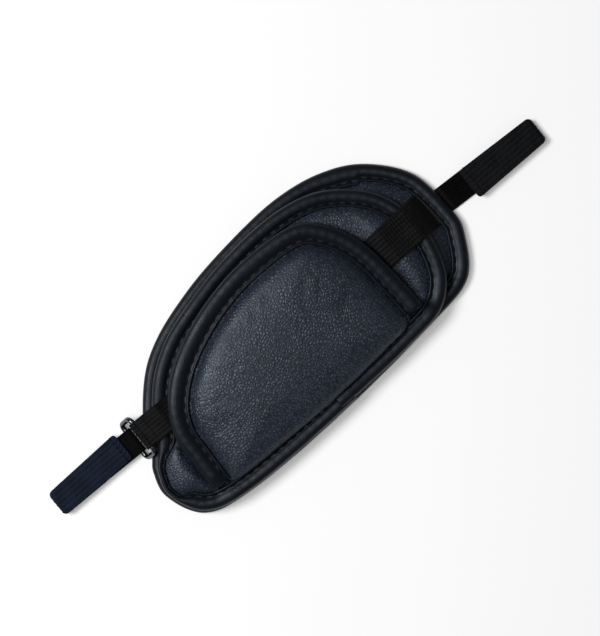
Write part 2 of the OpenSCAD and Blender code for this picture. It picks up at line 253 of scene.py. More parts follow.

# %% [markdown]
# ## Leather
# The panels are pebbled leather: rounded islands a little over a millimetre across, parted by fine
# creases, with a few broader folds. Voronoi cells give the islands, and the distance to a cell's
# edge gives the crease. The colour is painted darker in the creases, as painted shade where the
# relief dips, and broad noise patches vary the tone at random. The coordinates are first stirred
# by noise, or the cells look like scales.
# The same recipe with smaller, shallower cells makes the smoother edging leather.

# %% Leather
def leather(name, cell_mm, crease, light, dark, depth_mm, rough, strength, shine):
    """Pebbled leather: cell_mm is the size of an island and crease the share of it that is crease."""
    material, tree, shader = new_material(name)
    place = object_place(tree)
    moved = tree.nodes.new("ShaderNodeMix")
    moved.data_type = "VECTOR"
    moved.inputs["Factor"].default_value = 0.0009
    link(tree, place, moved.inputs["A"])
    link(tree, noise_node(tree, place, 260.0, 0.0)["Color"], moved.inputs["B"])
    cells = add_node(tree, "ShaderNodeTexVoronoi", feature="DISTANCE_TO_EDGE", Scale=1000.0 / cell_mm)
    link(tree, moved.outputs["Result"], cells.inputs["Vector"])
    island = ramp(tree, cells.outputs["Distance"], 0.0, crease, 0.0, 1.0)
    fine = noise_node(tree, place, 2600.0, 3.0)["Fac"]
    broad = noise_node(tree, place, 70.0, 3.0)["Fac"]
    height = maths(tree, "MULTIPLY_ADD", fine, 0.08, island)
    height = maths(tree, "MULTIPLY_ADD", broad, 0.8, height)
    add_bump(tree, shader, height, depth_mm, strength)
    # Painted shade: the colour goes dark in the creases between islands; the broad patches are random tone.
    crease_shade_and_patches = maths(tree, "MULTIPLY", island, ramp(tree, broad, 0.3, 0.75, 0.75, 1.0))
    link(tree, tint(tree, crease_shade_and_patches, dark, light), shader.inputs["Base Color"])
    link(tree, ramp(tree, broad, 0.3, 0.7, rough - 0.05, rough + 0.08), shader.inputs["Roughness"])
    shader.inputs["Specular IOR Level"].default_value = shine
    shader.inputs["Specular Tint"].default_value = (0.78, 0.88, 1.0, 1)
    return material


PANEL = leather("panel_leather", 1.35, 0.34, (0.024, 0.033, 0.057), (0.005, 0.0065, 0.011),
                0.15, 0.44, 0.75, 0.5)
EDGING = leather("edging_leather", 0.8, 0.30, (0.0042, 0.0060, 0.0095), (0.0024, 0.0032, 0.0048),
                 0.04, 0.40, 0.6, 0.24)
print("leathers:", PANEL.name, EDGING.name)

# %% [markdown]
# ## Thread, weave, pile and metal
# Woven bands are modelled yarn by yarn further down, so their material only adds fibre: short
# streaks of noise along the yarns. Loop pile swallows light, so it is nearly black and rough. The
# ring is plated wire with faint polishing scratches.

# %% Thread, weave, pile and metal
def stretched_place(tree, scale):
    turn = add_node(tree, "ShaderNodeMapping", Scale=scale)
    link(tree, object_place(tree), turn.inputs["Vector"])
    return turn.outputs["Vector"]


def fibre(name, light, dark, streak, rough):
    """Fibre streaks: streak is how many times longer they are along X than across."""
    material, tree, shader = new_material(name)
    strands = noise_node(tree, stretched_place(tree, (1 / streak, 1, 1)), 3800.0, 3.0)["Fac"]
    patch = noise_node(tree, object_place(tree), 160.0, 2.0)["Fac"]
    both = maths(tree, "MULTIPLY", strands, ramp(tree, patch, 0.3, 0.7, 0.8, 1.2))
    link(tree, tint(tree, ramp(tree, both, 0.3, 0.65, 0.0, 1.0), dark, light), shader.inputs["Base Color"])
    add_bump(tree, shader, strands, 0.06, 0.7)
    link(tree, ramp(tree, strands, 0.3, 0.7, rough, rough + 0.12), shader.inputs["Roughness"])
    shader.inputs["Specular IOR Level"].default_value = 0.09
    return material


def plated_wire():
    material, tree, shader = new_material("ring_metal")
    scratch = noise_node(tree, stretched_place(tree, (1.0, 0.08, 1.0)), 6000.0, 2.0)["Fac"]
    shader.inputs["Metallic"].default_value = 1.0
    link(tree, tint(tree, scratch, (0.07, 0.075, 0.085), (0.14, 0.145, 0.165)), shader.inputs["Base Color"])
    link(tree, ramp(tree, scratch, 0.4, 0.7, 0.10, 0.24), shader.inputs["Roughness"])
    return material


THREAD = fibre("sewing_thread", (0.0025, 0.0025, 0.0032), (0.001, 0.001, 0.0013), 6, 0.55)
WEBBING = fibre("webbing_yarn", (0.0045, 0.0048, 0.0056), (0.0010, 0.0010, 0.0013), 3, 0.55)
BAND = fibre("band_yarn", (0.0042, 0.0047, 0.0060), (0.0014, 0.0015, 0.002), 4, 0.55)
BAND_BLUE = fibre("band_yarn_faded", (0.0058, 0.0120, 0.0265), (0.0028, 0.0055, 0.0120), 4, 0.62)
PILE = fibre("loop_pile", (0.0025, 0.0022, 0.0022), (0.001, 0.001, 0.001), 1, 0.85)
HOOK = fibre("hook_tape", (0.006, 0.006, 0.007), (0.002, 0.002, 0.002), 1, 0.45)
METAL = plated_wire()
print("fibres and metal:", len(bpy.data.materials), "materials so far")

# %% [markdown]
# ## Outlines
# Each pad is drawn by a few points on its edge, as a pattern cutter would mark them, and a smooth
# curve goes through them. Points spaced evenly along that curve carry everything that follows the
# edge: binding, stitches and the rim of the panel.

# %% Outlines
LARGE_LINE = [(82, -6), (78, 18), (60, 37.3), (33, 45.8), (0, 44.7), (-35, 38.2), (-62, 27), (-79, 10),
              (-83, 1), (-87, -6.5), (-91.6, -13), (-93.7, -25), (-85, -41), (-62, -46.1), (-11, -44.7),
              (45, -38.8), (68, -33.5), (79.5, -18)]
MIDDLE_LINE = [(67.2, -2), (63.5, 15), (54, 28), (38, 38.4), (15, 42), (-15, 39), (-45, 31), (-63, 21),
               (-75, 8), (-79.6, -1), (-84.5, -8), (-89.5, -14), (-92, -25), (-84, -40), (-62, -45.4),
               (-11, -43.9), (30, -40), (50, -36.6), (61, -27.5), (66.3, -14.5)]
TOP_LINE = [(45.7, -28), (44.9, -12), (42.8, 5.5), (36.5, 21), (24, 32.6), (0, 34.6), (-25, 31), (-48, 22),
            (-65, 9.5), (-73.4, -5), (-75, -21), (-75.4, -34.9)]
FLAP_LINE = [(-75.4, -34.9), (-62, -36.2), (-40, -36.2), (-10, -35.4), (20, -32.6), (38, -30.4), (45.7, -28)]


def through(points, shut, steps=16):
    """A smooth curve through the points, closed on itself if shut."""
    n = len(points)
    pick = (lambda i: points[i % n]) if shut else (lambda i: points[min(max(i, 0), n - 1)])
    line = []
    for i in range(n if shut else n - 1):
        a, b, c, d = (Vector(pick(i + k)) for k in (-1, 0, 1, 2))
        for k in range(steps):
            t = k / steps
            line.append(0.5 * (2 * b + (c - a) * t + (2 * a - 5 * b + 4 * c - d) * t * t
                               + (3 * b - a - 3 * c + d) * t ** 3))
    if not shut:
        line.append(Vector(points[-1]))
    return line


def evenly(line, count, shut):
    """The same line as count points at equal distances."""
    ring = line + [line[0]] if shut else line
    total = sum((ring[i + 1] - ring[i]).length for i in range(len(ring) - 1))
    step = total / (count if shut else count - 1)
    out, i, gone = [], 0, 0.0
    for k in range(count):
        want = k * step
        while i < len(ring) - 2 and gone + (ring[i + 1] - ring[i]).length < want:
            gone += (ring[i + 1] - ring[i]).length
            i += 1
        span = (ring[i + 1] - ring[i]).length
        out.append(ring[i].lerp(ring[i + 1], min(1, (want - gone) / span) if span else 0))
    return out


def inward(line, i, shut):
    n = len(line)
    a = line[(i - 1) % n] if shut else line[max(i - 1, 0)]
    b = line[(i + 1) % n] if shut else line[min(i + 1, n - 1)]
    t = (b - a).normalized()
    return Vector((-t.y, t.x))


def inset(line, distance, shut):
    return [p + distance * inward(line, i, shut) for i, p in enumerate(line)]


def smooth01(t):
    t = min(1.0, max(0.0, t))
    return t * t * (3 - 2 * t)


LARGE_EDGE = evenly(through(LARGE_LINE, True), 420, True)
MIDDLE_EDGE = evenly(through(MIDDLE_LINE, True), 400, True)
TOP_EDGE = evenly(through(TOP_LINE, False), 260, False)
TOP_BACK = through(FLAP_LINE, False)
for name, edge in (("large", LARGE_EDGE), ("middle", MIDDLE_EDGE)):
    print(name, "edge:", round(sum((a - b).length for a, b in zip(edge, edge[-1:] + edge))), "mm")

# %% [markdown]
# ## Where the tiers stand
# The pads share the sewn edge and fan open from it, so each has a plane of its own, tilted a few
# degrees more than the one below. A pad is modelled flat, in millimetres, and then placed on its
# plane. The tilts are the frame's own.

# %% Where the tiers stand
TILT_MIDDLE = math.radians(3)
TILT_TOP = math.radians(6.5)
SPINE_Y, SPINE_Z = -45.0, 4.7
FLAP_Y, FLAP_RISE = -36.5, 3.5
FLAP_Z = SPINE_Z + (FLAP_Y - SPINE_Y) * math.tan(TILT_MIDDLE) + FLAP_RISE
WEB_ROOM = 1.7


def tilted(y, z, angle):
    return Matrix.Translation((0, y, z)) @ Matrix.Rotation(angle, 4, "X") @ Matrix.Translation((0, -y, 0))


TO_METRES = Matrix.Scale(MM, 4)
PLACE = {"large": TO_METRES,
         "middle": TO_METRES @ tilted(SPINE_Y, SPINE_Z, TILT_MIDDLE),
         "top": TO_METRES @ tilted(FLAP_Y, FLAP_Z, TILT_TOP)}


def middle_plane(y):
    return SPINE_Z + (y - SPINE_Y) * math.tan(TILT_MIDDLE)


def top_plane(y):
    """The top pad's underside, in the middle pad's own frame."""
    return FLAP_RISE + (y - FLAP_Y) * math.tan(TILT_TOP - TILT_MIDDLE)


print("planes over the table at y = 0:", round(middle_plane(0), 1), "and",
      round(FLAP_Z - FLAP_Y * math.tan(TILT_TOP), 1), "mm")

# %% [markdown]
# ## Mesh helpers
# Two builders cover nearly every leather and woven piece. One closes a stack of rings into a
# cushion, the other sweeps a section along a path. Both put the finished points straight in the
# row frame, so every object stays at the origin.

# %% Mesh helpers
def mesh_object(name, points, faces, material, place=TO_METRES, flat=False, edges=()):
    mesh = bpy.data.meshes.new(name)
    mesh.from_pydata([tuple(place @ Vector(p)) for p in points], edges, faces)
    mesh.validate()
    mesh.materials.append(material)
    if not flat:
        mesh.polygons.foreach_set("use_smooth", [True] * len(mesh.polygons))
    return new_object(name, mesh)


def band_of_faces(a, b, n, shut=True):
    return [(a + i, a + (i + 1) % n, b + (i + 1) % n, b + i) for i in range(n if shut else n - 1)]


def cushion_mesh(name, rings, material, place):
    """Rings from the middle of the top, out over the rim and back to the middle of the bottom."""
    n = len(rings[0])
    points = [p for ring in rings for p in ring]
    faces = []
    for j in range(len(rings) - 1):
        faces += band_of_faces(j * n, (j + 1) * n, n)
    top = sum((Vector(p) for p in rings[0]), Vector()) / n
    bottom = sum((Vector(p) for p in rings[-1]), Vector()) / n
    points += [top, bottom]
    last = (len(rings) - 1) * n
    faces += [(n * len(rings), (i + 1) % n, i) for i in range(n)]
    faces += [(n * len(rings) + 1, last + i, last + (i + 1) % n) for i in range(n)]
    return mesh_object(name, points, faces, material, place)


def sweep_mesh(name, sections, shut, material, place):
    n, m = len(sections[0]), len(sections)
    points = [p for s in sections for p in s]
    faces = []
    for j in range(m if shut else m - 1):
        faces += band_of_faces(j * n, ((j + 1) % m) * n, n)
    if not shut:
        faces += [tuple(range(n - 1, -1, -1)), tuple((m - 1) * n + i for i in range(n))]
    return mesh_object(name, points, faces, material, place)


def apply_modifiers(obj):
    bpy.context.view_layer.update()
    shown = obj.evaluated_get(bpy.context.evaluated_depsgraph_get())
    mesh = bpy.data.meshes.new_from_object(shown)
    obj.modifiers.clear()
    obj.data = mesh


print("helpers ready")

# %% [markdown]
# ## The padded panels
# Each panel is leather over foam, held all round under the binding. Its shape starts as a dome that
# rises steeply from the rim. Where a pad lies on it, the dome is pressed flat. Cloth simulation with
# a pinned rim and air pressure then lets the leather find its own bulge, which is what gives real
# padding its tight edges and slack middle. Small gathers along the seam come after it, because the
# remesh would wipe them out.

# %% Panels: shape
RIM_TOP = 3.1
RISE = {"large": 4.6, "middle": 4.6, "top": 6.4}
CENTRE = {"large": Vector((-5, 0)), "middle": Vector((-13, -2)), "top": Vector((-15, -3))}
LIP_IN = 8.1
BINDING = 7.8
TOP_WIDTH = 9.3
NARROWED = 4.6
FREE = 99.0


def lid(tier, x, y):
    """The height that the pad above leaves free."""
    if tier == "large":
        return middle_plane(y) - 0.15
    if tier == "middle":
        beyond = 1.7 * max(0, -74.5 - x) + max(0, x - 46) + max(0, y - 35)
        return max(RIM_TOP, top_plane(y) - WEB_ROOM + 0.6 * beyond)
    return FREE


def flap_outline(distance, back):
    """The top pad's outline, that far in from the curved edge and closed along the flap line."""
    arc = inset(TOP_EDGE, distance, False)
    a, b = arc[-1].x, arc[0].x
    line = []
    for i in range(1, 60):
        x = a + (b - a) * i / 60
        k = next(j for j in range(1, len(TOP_BACK)) if TOP_BACK[j].x >= x or j == len(TOP_BACK) - 1)
        p, q = TOP_BACK[k - 1], TOP_BACK[k]
        line.append(Vector((x, p.y + (q.y - p.y) * (x - p.x) / (q.x - p.x) + back)))
    return arc + line


def narrow_left(p):
    """The middle pad's binding is narrow where it rolls over the left edge."""
    return smooth01((-78 - p.x) / 8) * smooth01((p.y + 36) / 9) * smooth01((-2 - p.y) / 8)


def large_width(p):
    """The large pad's binding is wider along the far curve and steps back where it was eased."""
    eased = smooth01((p.x - 28) / 26) * (1 - smooth01((p.x - 61) / 2.2)) * smooth01((p.y - 20) / 6)
    return BINDING + 1.7 * eased


def middle_width(p):
    return BINDING - NARROWED * narrow_left(p)


def top_width(p):
    return TOP_WIDTH


def lip_line(tier, distance):
    """The closed line that far in from a pad's edge, shifted where its binding is wide or narrow."""
    if tier == "large":
        return [p + (distance + large_width(p) - BINDING) * inward(LARGE_EDGE, i, True)
                for i, p in enumerate(LARGE_EDGE)]
    if tier == "middle":
        return [p + (distance - NARROWED * narrow_left(p)) * inward(MIDDLE_EDGE, i, True)
                for i, p in enumerate(MIDDLE_EDGE)]
    return flap_outline(distance + TOP_WIDTH - BINDING, -2.2)


def soft_min(a, b, blend):
    h = max(0.0, blend - abs(a - b)) / blend
    return min(a, b) - h * h * blend / 4


def panel_rings(tier):
    """Rings from the middle of the dome to its foot beside the lip, under the lip, and back below."""
    foot = evenly(lip_line(tier, LIP_IN + 0.5), 240, True)
    hidden = evenly(lip_line(tier, LIP_IN - 1.4), 240, True)
    c = CENTRE[tier]
    steps = [0.06, 0.16, 0.28, 0.42, 0.56, 0.68, 0.77, 0.84, 0.89, 0.93, 0.955, 0.975, 0.99, 1.0]
    rings = []
    for f in steps:
        ring = []
        for p in foot:
            q = c + (p - c) * f
            z = RIM_TOP - 0.1 + (RISE[tier] + 0.1) * max(0.0, 1 - f ** 6) ** 0.62
            ring.append((q.x, q.y, soft_min(z, lid(tier, q.x, q.y), 1.4)))
        rings.append(ring)
    rings.append([(p.x, p.y, RIM_TOP - 0.15) for p in hidden])
    for f in reversed(steps):
        rings.append([((c + (p - c) * f).x, (c + (p - c) * f).y, 1.35) for p in hidden])
    return rings


print("a panel has", len(panel_rings("top")), "rings")

# %% [markdown]
# ## Inflating the panels
# The dome is remeshed evenly, so that the cloth has points of one spacing. It is inflated a little,
# and no point may move further than a cap. Distance from the lip says how free a point is.

# %% Panels: inflate and finish
PRESSURE = {"large": 3.0, "middle": 3.0, "top": 5.0}
SWELL_CAP = {"large": 1.0, "middle": 1.2, "top": 2.2}
CLOTH_FRAMES = 14
VOXEL = 1.4 * MM


def rim_wall(tier):
    """An upright wall along the lip, to measure distances from."""
    rim = lip_line(tier, LIP_IN)
    n = len(rim)
    return BVHTree.FromPolygons(
        [(p.x, p.y, z) for p in rim for z in (-20, 20)],
        [(2 * i, 2 * i + 1, (2 * i + 3) % (2 * n), (2 * i + 2) % (2 * n)) for i in range(n)])


def inflate(obj, tier):
    """Cloth with a pinned rim, pressure and no gravity. A point may move no further than the cap."""
    scene = bpy.context.scene
    rest = [v.co.copy() for v in obj.data.vertices]
    back = PLACE[tier].inverted()
    wall = rim_wall(tier)
    group = obj.vertex_groups.new(name="sewn")
    room = []
    for v, co in zip(obj.data.vertices, rest):
        local = back @ co
        gone = wall.find_nearest(local)[3]
        under = local.z < 2.0
        hold = 1.0 if under else 1 - smooth01((gone - 1.0) / 5)
        group.add([v.index], hold, "REPLACE")
        room.append(0.0 if under else smooth01(gone / 4))
    cloth = obj.modifiers.new("cloth", "CLOTH")
    settings = cloth.settings
    settings.quality = 5
    settings.mass = 0.15
    settings.tension_stiffness = settings.compression_stiffness = 12
    settings.bending_stiffness = 1.5
    settings.use_pressure = True
    settings.uniform_pressure_force = PRESSURE[tier]
    settings.vertex_group_mass = "sewn"
    settings.effector_weights.gravity = 0
    cloth.collision_settings.use_collision = False
    cloth.point_cache.frame_start, cloth.point_cache.frame_end = 1, CLOTH_FRAMES
    for frame_number in range(1, CLOTH_FRAMES + 1):
        scene.frame_set(frame_number)
    moved = obj.evaluated_get(bpy.context.evaluated_depsgraph_get()).data
    away = [w.co - r for w, r in zip(moved.vertices, rest)]
    furthest = max((a.length for a in away), default=0)
    obj.modifiers.clear()
    scene.frame_set(1)
    cap = SWELL_CAP[tier] * MM
    for v, r, a, k in zip(obj.data.vertices, rest, away, room):
        if a.length > 0:
            v.co = r + a.normalized() * cap * (1 - math.exp(-a.length / cap)) * k
    obj.vertex_groups.clear()
    return furthest


def finish_panel(obj, tier):
    """Keeps the panel under the pad above, and gathers the leather along the seam."""
    back = PLACE[tier].inverted()
    wall = rim_wall(tier)
    for v in obj.data.vertices:
        p = back @ v.co
        if p.z < 2.2:
            continue
        _, _, face, gone = wall.find_nearest((p.x, p.y, 0))
        gather = math.sin(face * 2.4 + 2 * noise.noise((p.x * 0.11, p.y * 0.11, 0)))
        crease = noise.noise((p.x * 0.05, p.y * 0.09, 4.0)) * 0.14
        p.z += 0.08 * gather * math.exp(-gone / 3.2) * smooth01(gone / 1.0) + crease * smooth01(gone / 8)
        p.z = soft_min(p.z, lid(tier, p.x, p.y), 0.6)
        v.co = PLACE[tier] @ p
    obj.data.polygons.foreach_set("use_smooth", [True] * len(obj.data.polygons))
    sub = obj.modifiers.new("smooth", "SUBSURF")
    sub.levels = sub.render_levels = 1
    apply_modifiers(obj)


def make_panel(tier, node_names):
    obj = cushion_mesh(tier + "_panel", panel_rings(tier), PANEL, PLACE[tier])
    remesh = obj.modifiers.new("even", "REMESH")
    remesh.mode = "VOXEL"
    remesh.voxel_size = VOXEL
    apply_modifiers(obj)
    far = inflate(obj, tier)
    finish_panel(obj, tier)
    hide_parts(*node_names)
    print(obj.name, len(obj.data.vertices), "points; cloth moved at most", round(far / MM, 1), "mm")
    return obj


panels = {tier: make_panel(tier, nodes) for tier, nodes in (
    ("large", ("large_top_leather", "large_foam")),
    ("middle", ("middle_top_leather", "middle_foam")),
    ("top", ("small_top_leather", "small_foam")))}
for tier in ("large", "middle"):
    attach(panels[tier], "pads")

# %% [markdown]
# ## Edge binding
# A strip of leather is folded over the edge and sewn through. Its section is a fat rolled bead at
# the outside, a groove where the stitches pull it down, and a thin lip on the panel. Sweeping that
# section along the outline gives the whole binding. Each stitch pinches the groove and lets the bead
# swell between, so the section breathes once per stitch. The middle pad's binding is one strip whose
# ends meet in a lap, and along the sewn edge it rises over the top pad's leather.

# %% Edge binding
PITCH = 4.7
GROOVE_IN = 6.1
GROOVE_Z = 3.8
CROWN_Z = 4.75


def bead_section(width, up, pinch):
    """Points as (distance in from the edge, height). pinch is 1 at a stitch and 0 between two."""
    deep = GROOVE_Z - 0.06 * pinch + up
    crown = CROWN_Z - 0.07 * pinch + up
    k = width / BINDING
    return [(width, 0.0), (5.0 * k, 0.0), (2.2 * k, 0.0), (1.1 * k, 0.25), (0.35 * k, 0.95), (0.0, 1.9),
            (0.02, 2.7 + 0.5 * up), (0.35 * k, 3.5 + 0.8 * up), (1.1 * k, 4.25 + up), (2.1 * k, crown - 0.05),
            (3.1 * k, crown), (4.2 * k, crown - 0.12), (5.0 * k, crown - 0.45), (5.5 * k, deep + 0.12),
            (5.9 * k, deep), (6.3 * k, deep), (6.65 * k, deep + 0.12), (6.9 * k, deep + 0.55),
            (7.25 * k, deep + 0.68), (7.6 * k, deep + 0.55), (width, deep + 0.1), (width - 0.05, 3.2 + up),
            (6.4 * k, 3.15 + up), (1.6 * k, 3.15 + up), (1.6 * k, 1.0), (width, 1.0)]


def spine_up(p):
    return 1.2 * smooth01((-28 - p.y) / 6) * smooth01((78 + p.x) / 8) * smooth01((54 - p.x) / 8)


def level(p, s):
    return 0.0


def in_place(s):
    return 0.0


def plain_width(p):
    return BINDING


def edge_stations(line, shut, up):
    """Each point of the line, the way inward, the distance in mm so far, the rise and the wobble."""
    s = 0.0
    for i, p in enumerate(line):
        if i:
            s += (p - line[i - 1]).length
        rise = up(p, s) + 0.12 * noise.noise((p.x * 0.05, p.y * 0.05, 7.0))
        wobble = 0.18 * noise.noise((p.x * 0.07, p.y * 0.07, 2.0))
        yield p, inward(line, i, shut), s, rise, wobble


def binding(name, tier, line, shut, up=level, width=plain_width, shift=in_place):
    """The swept binding: up, width and shift say how it rises, widens and moves in."""
    sections = []
    for p, v, s, rise, wobble in edge_stations(line, shut, up):
        pinch = 0.5 + 0.5 * math.cos(2 * math.pi * s / PITCH)
        section = []
        for u, z in bead_section(width(p), rise, pinch):
            at = p + v * (u + wobble + shift(s))
            section.append((at.x, at.y, max(0.0, z)))
        sections.append(section)
    obj = sweep_mesh(name, sections, shut, EDGING, PLACE[tier])
    print(name, round(s), "mm of binding,", len(obj.data.polygons), "faces")
    return obj


large_binding = binding("large_edge_binding", "large", LARGE_EDGE, True, width=large_width)
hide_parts("large_binding")
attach(large_binding, "pads")

# %% [markdown]
# ## The lap in the middle pad's binding
# The strip starts a little left of the middle of the sewn edge, runs right round the pad and ends
# under its own start. The start is a cut edge that stands up by the leather's thickness, which shows
# as a small step.

# %% The lap in the middle pad's binding
LAP_X = -9.0
LAP_LENGTH = 9.0


def lap_line():
    start = min((i for i in range(len(MIDDLE_EDGE)) if MIDDLE_EDGE[i].y < -30),
                key=lambda i: abs(MIDDLE_EDGE[i].x - LAP_X))
    ring = MIDDLE_EDGE[start:] + MIDDLE_EDGE[:start]
    total = sum((ring[i] - ring[i - 1]).length for i in range(len(ring)))
    return ring + ring[:int(LAP_LENGTH / total * len(ring))], total


MIDDLE_STRIP, MIDDLE_LENGTH = lap_line()


def lap_up(p, s):
    return spine_up(p) + 1.0 * (1 - smooth01((s - 3) / 16)) - 0.25 * smooth01((s - MIDDLE_LENGTH) / 3)


def lap_shift(s):
    return 1.0 * (1 - smooth01((s - 2) / 40))


def top_up(p, s):
    return -0.9 * smooth01((-30 - p.y) / 5)


middle_binding = binding("middle_edge_binding", "middle", MIDDLE_STRIP, False, lap_up, middle_width, lap_shift)
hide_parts("middle_binding")
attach(middle_binding, "pads")

top_binding = binding("top_edge_binding", "top", TOP_EDGE, False, top_up, top_width)
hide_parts("small_binding")

# %% [markdown]
# ## Stitches
# A lockstitch is a row of short, fat threads, each diving into the leather at both ends. A row of
# equal things along a path is what Geometry Nodes are for: the groove's line goes in as edges, is cut
# at one stitch length, and a lens-shaped thread is placed on each point and turned along the line.

# %% Stitches
def socket_id(tree, name):
    return next(s.identifier for s in tree.interface.items_tree if s.name == name and s.in_out == "INPUT")


def new_tree(name, sockets, output):
    """A Geometry Nodes tree with inputs listed as (name, kind, start value), and one output."""
    tree = bpy.data.node_groups.new(name, "GeometryNodeTree")
    for label, kind, value in sockets:
        socket = tree.interface.new_socket(label, in_out="INPUT", socket_type="NodeSocket" + kind)
        if value is not None:
            socket.default_value = value
    tree.interface.new_socket(output, in_out="OUTPUT", socket_type="NodeSocketGeometry")
    return tree


def join_up(tree, links):
    """Joins nodes listed as (from, output, to, input)."""
    for source, output, target, socket in links:
        link(tree, source.outputs[output], target.inputs[socket])


def stitch_tree():
    tree = new_tree("stitch_row", [
        ("Path", "Geometry", None), ("Pitch", "Float", 4.7 * MM), ("Length", "Float", 1.6 * MM),
        ("Thickness", "Float", 0.34 * MM), ("Thread", "Material", None)], "Row")
    start, end = add_node(tree, "NodeGroupInput"), add_node(tree, "NodeGroupOutput")
    curve = add_node(tree, "GeometryNodeMeshToCurve")
    cut = add_node(tree, "GeometryNodeResampleCurve", mode="LENGTH")
    along = add_node(tree, "GeometryNodeInputTangent")
    turn = add_node(tree, "FunctionNodeAlignRotationToVector", axis="X")
    one = add_node(tree, "GeometryNodeMeshUVSphere", Segments=10, Rings=8, Radius=1.0)
    size = add_node(tree, "ShaderNodeCombineXYZ")
    place = add_node(tree, "GeometryNodeInstanceOnPoints")
    real = add_node(tree, "GeometryNodeRealizeInstances")
    paint = add_node(tree, "GeometryNodeSetMaterial")
    join_up(tree, [
        (start, "Path", curve, 0), (curve, 0, cut, "Curve"), (start, "Pitch", cut, "Length"),
        (along, 0, turn, "Vector"), (start, "Length", size, 0), (start, "Thickness", size, 1),
        (start, "Thickness", size, 2), (cut, 0, place, "Points"), (one, 0, place, "Instance"),
        (turn, 0, place, "Rotation"), (size, 0, place, "Scale"), (place, 0, real, 0),
        (real, 0, paint, 0), (start, "Thread", paint, "Material"), (paint, 0, end, 0)])
    return tree


STITCH_TREE = stitch_tree()


def grown(name, base, tree, values, material_input, material):
    """Runs a Geometry Nodes tree on base and keeps the result as a plain mesh object."""
    modifier = base.modifiers.new("grow", "NODES")
    modifier.node_group = tree
    for key, value in values.items():
        modifier[socket_id(tree, key)] = value
    modifier[socket_id(tree, material_input)] = material
    bpy.context.view_layer.update()
    shown = base.evaluated_get(bpy.context.evaluated_depsgraph_get())
    mesh = bpy.data.meshes.new_from_object(shown)
    mesh.name = name
    base.modifiers.clear()
    obj = new_object(name, mesh)
    if not mesh.materials:
        mesh.materials.append(material)
    mesh.polygons.foreach_set("use_smooth", [True] * len(mesh.polygons))
    bpy.data.objects.remove(base)
    return obj


def stitches(name, points, place, pitch=PITCH, length=1.6, thick=0.34):
    edges = [(i, i + 1) for i in range(len(points) - 1)]
    path = mesh_object(name + "_path", points, [], THREAD, place, edges=edges)
    sizes = {"Pitch": pitch * MM, "Length": length * MM, "Thickness": thick * MM}
    obj = grown(name, path, STITCH_TREE, sizes, "Thread", THREAD)
    print(name, len(obj.data.polygons), "faces")
    return obj


def groove_points(line, shut, up=level, width=plain_width, shift=in_place, upto=math.inf):
    points = []
    for p, v, s, rise, wobble in edge_stations(line, shut, up):
        if s > upto:
            break
        at = p + v * (GROOVE_IN * width(p) / BINDING + wobble + shift(s))
        points.append((at.x, at.y, GROOVE_Z + rise))
    if shut:
        points.append(points[0])
    return points


large_row = stitches("large_stitch_row", groove_points(LARGE_EDGE, True, width=large_width), PLACE["large"])
middle_row = stitches("middle_stitch_row", groove_points(
    MIDDLE_STRIP, False, lap_up, middle_width, lap_shift, MIDDLE_LENGTH - 1), PLACE["middle"])
top_row = stitches("top_stitch_row", groove_points(TOP_EDGE, False, top_up, top_width), PLACE["top"])
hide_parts("large_stitches")
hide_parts("middle_stitches")
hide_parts("small_stitches")
for row in (large_row, middle_row):
    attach(row, "pads")

# %% [markdown]
# ## The underside of each pad
# The back of each pad is a plain leather panel under the binding's lower lip, a little fuller in the
# middle than at its rim. It is a shallow cushion of its own, so the pad is closed from below.

# %% The underside of each pad
def make_base(tier, node_name):
    lip = evenly(lip_line(tier, LIP_IN - 2.5), 200, True)
    c = CENTRE[tier]
    steps = [0.1, 0.3, 0.5, 0.7, 0.85, 0.94, 0.965, 0.985, 1.0]
    low = {0.94: 0.05, 0.965: 0.35, 0.985: 0.9, 1.0: 1.08}
    rings = []
    for f in steps:
        rings.append([(*(c + (p - c) * f), 1.28) for p in lip])
    for f in reversed(steps):
        rings.append([(*(c + (p - c) * f), low.get(f, 0.0)) for p in lip])
    obj = cushion_mesh(tier + "_back_panel", rings, PANEL, PLACE[tier])
    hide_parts(node_name)
    return obj


back_panels = {tier: make_base(tier, node) for tier, node in (
    ("large", "large_base_leather"), ("middle", "middle_base_leather"), ("top", "small_base_leather"))}
for tier in ("large", "middle"):
    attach(back_panels[tier], "pads")
print("backs:", [o.name for o in back_panels.values()])

# %% [markdown]
# ## The flap's leather hinge
# The top pad has no pin: its leather runs under the middle pad's binding and bends there. The panel,
# its back, its binding and its stitch row have their placing baked into their points, and the
# hinge's axis and middle are read from the record.

# %% The flap's leather hinge
HINGE = next(j for j in frame["record"]["behaviour"]["joints"] if j["name"] == "top_flap")
axis = Vector(HINGE["axis"]).normalized()
middle_of_hinge = Vector(HINGE["pos_m"])
for piece in (panels["top"], back_panels["top"], top_binding, top_row):
    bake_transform(piece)
print("flap bends at y =", round(middle_of_hinge.y / MM, 1), "mm")

# %% [markdown]
# ## Woven bands
# Webbing is a plain weave of thick yarns, about a millimetre each. Drawn as bump alone it looks
# printed, so the yarns are real relief: every crossing is a little crown, high where the lengthwise
# yarn is on top and turned where the crosswise yarn is. A band is a grid of points along a path with
# that relief on both faces.

# %% Woven bands
def weave(u, v, a, b):
    """Relief from 0 to 1 at u mm across and v mm along, for yarns a mm and b mm wide."""
    i, j = math.floor(u / a), math.floor(v / b)
    cu = math.cos(math.pi * (u / a - i - 0.5))
    cv = math.cos(math.pi * (v / b - j - 0.5))
    return cu * (0.45 + 0.55 * cv) if (i + j) % 2 == 0 else cv * (0.35 + 0.55 * cu)


def ribs(u, v, a, b):
    """Relief of a band whose lengthwise cords hide the crosswise yarn."""
    cord = abs(math.cos(math.pi * u / a)) ** 0.8
    return 0.75 * cord + 0.25 * abs(math.cos(math.pi * (v / b + 0.5 * (math.floor(u / a) % 2))))


def run_length(path):
    s = [0.0]
    for a, b in zip(path, path[1:]):
        s.append(s[-1] + math.dist(a, b))
    return s


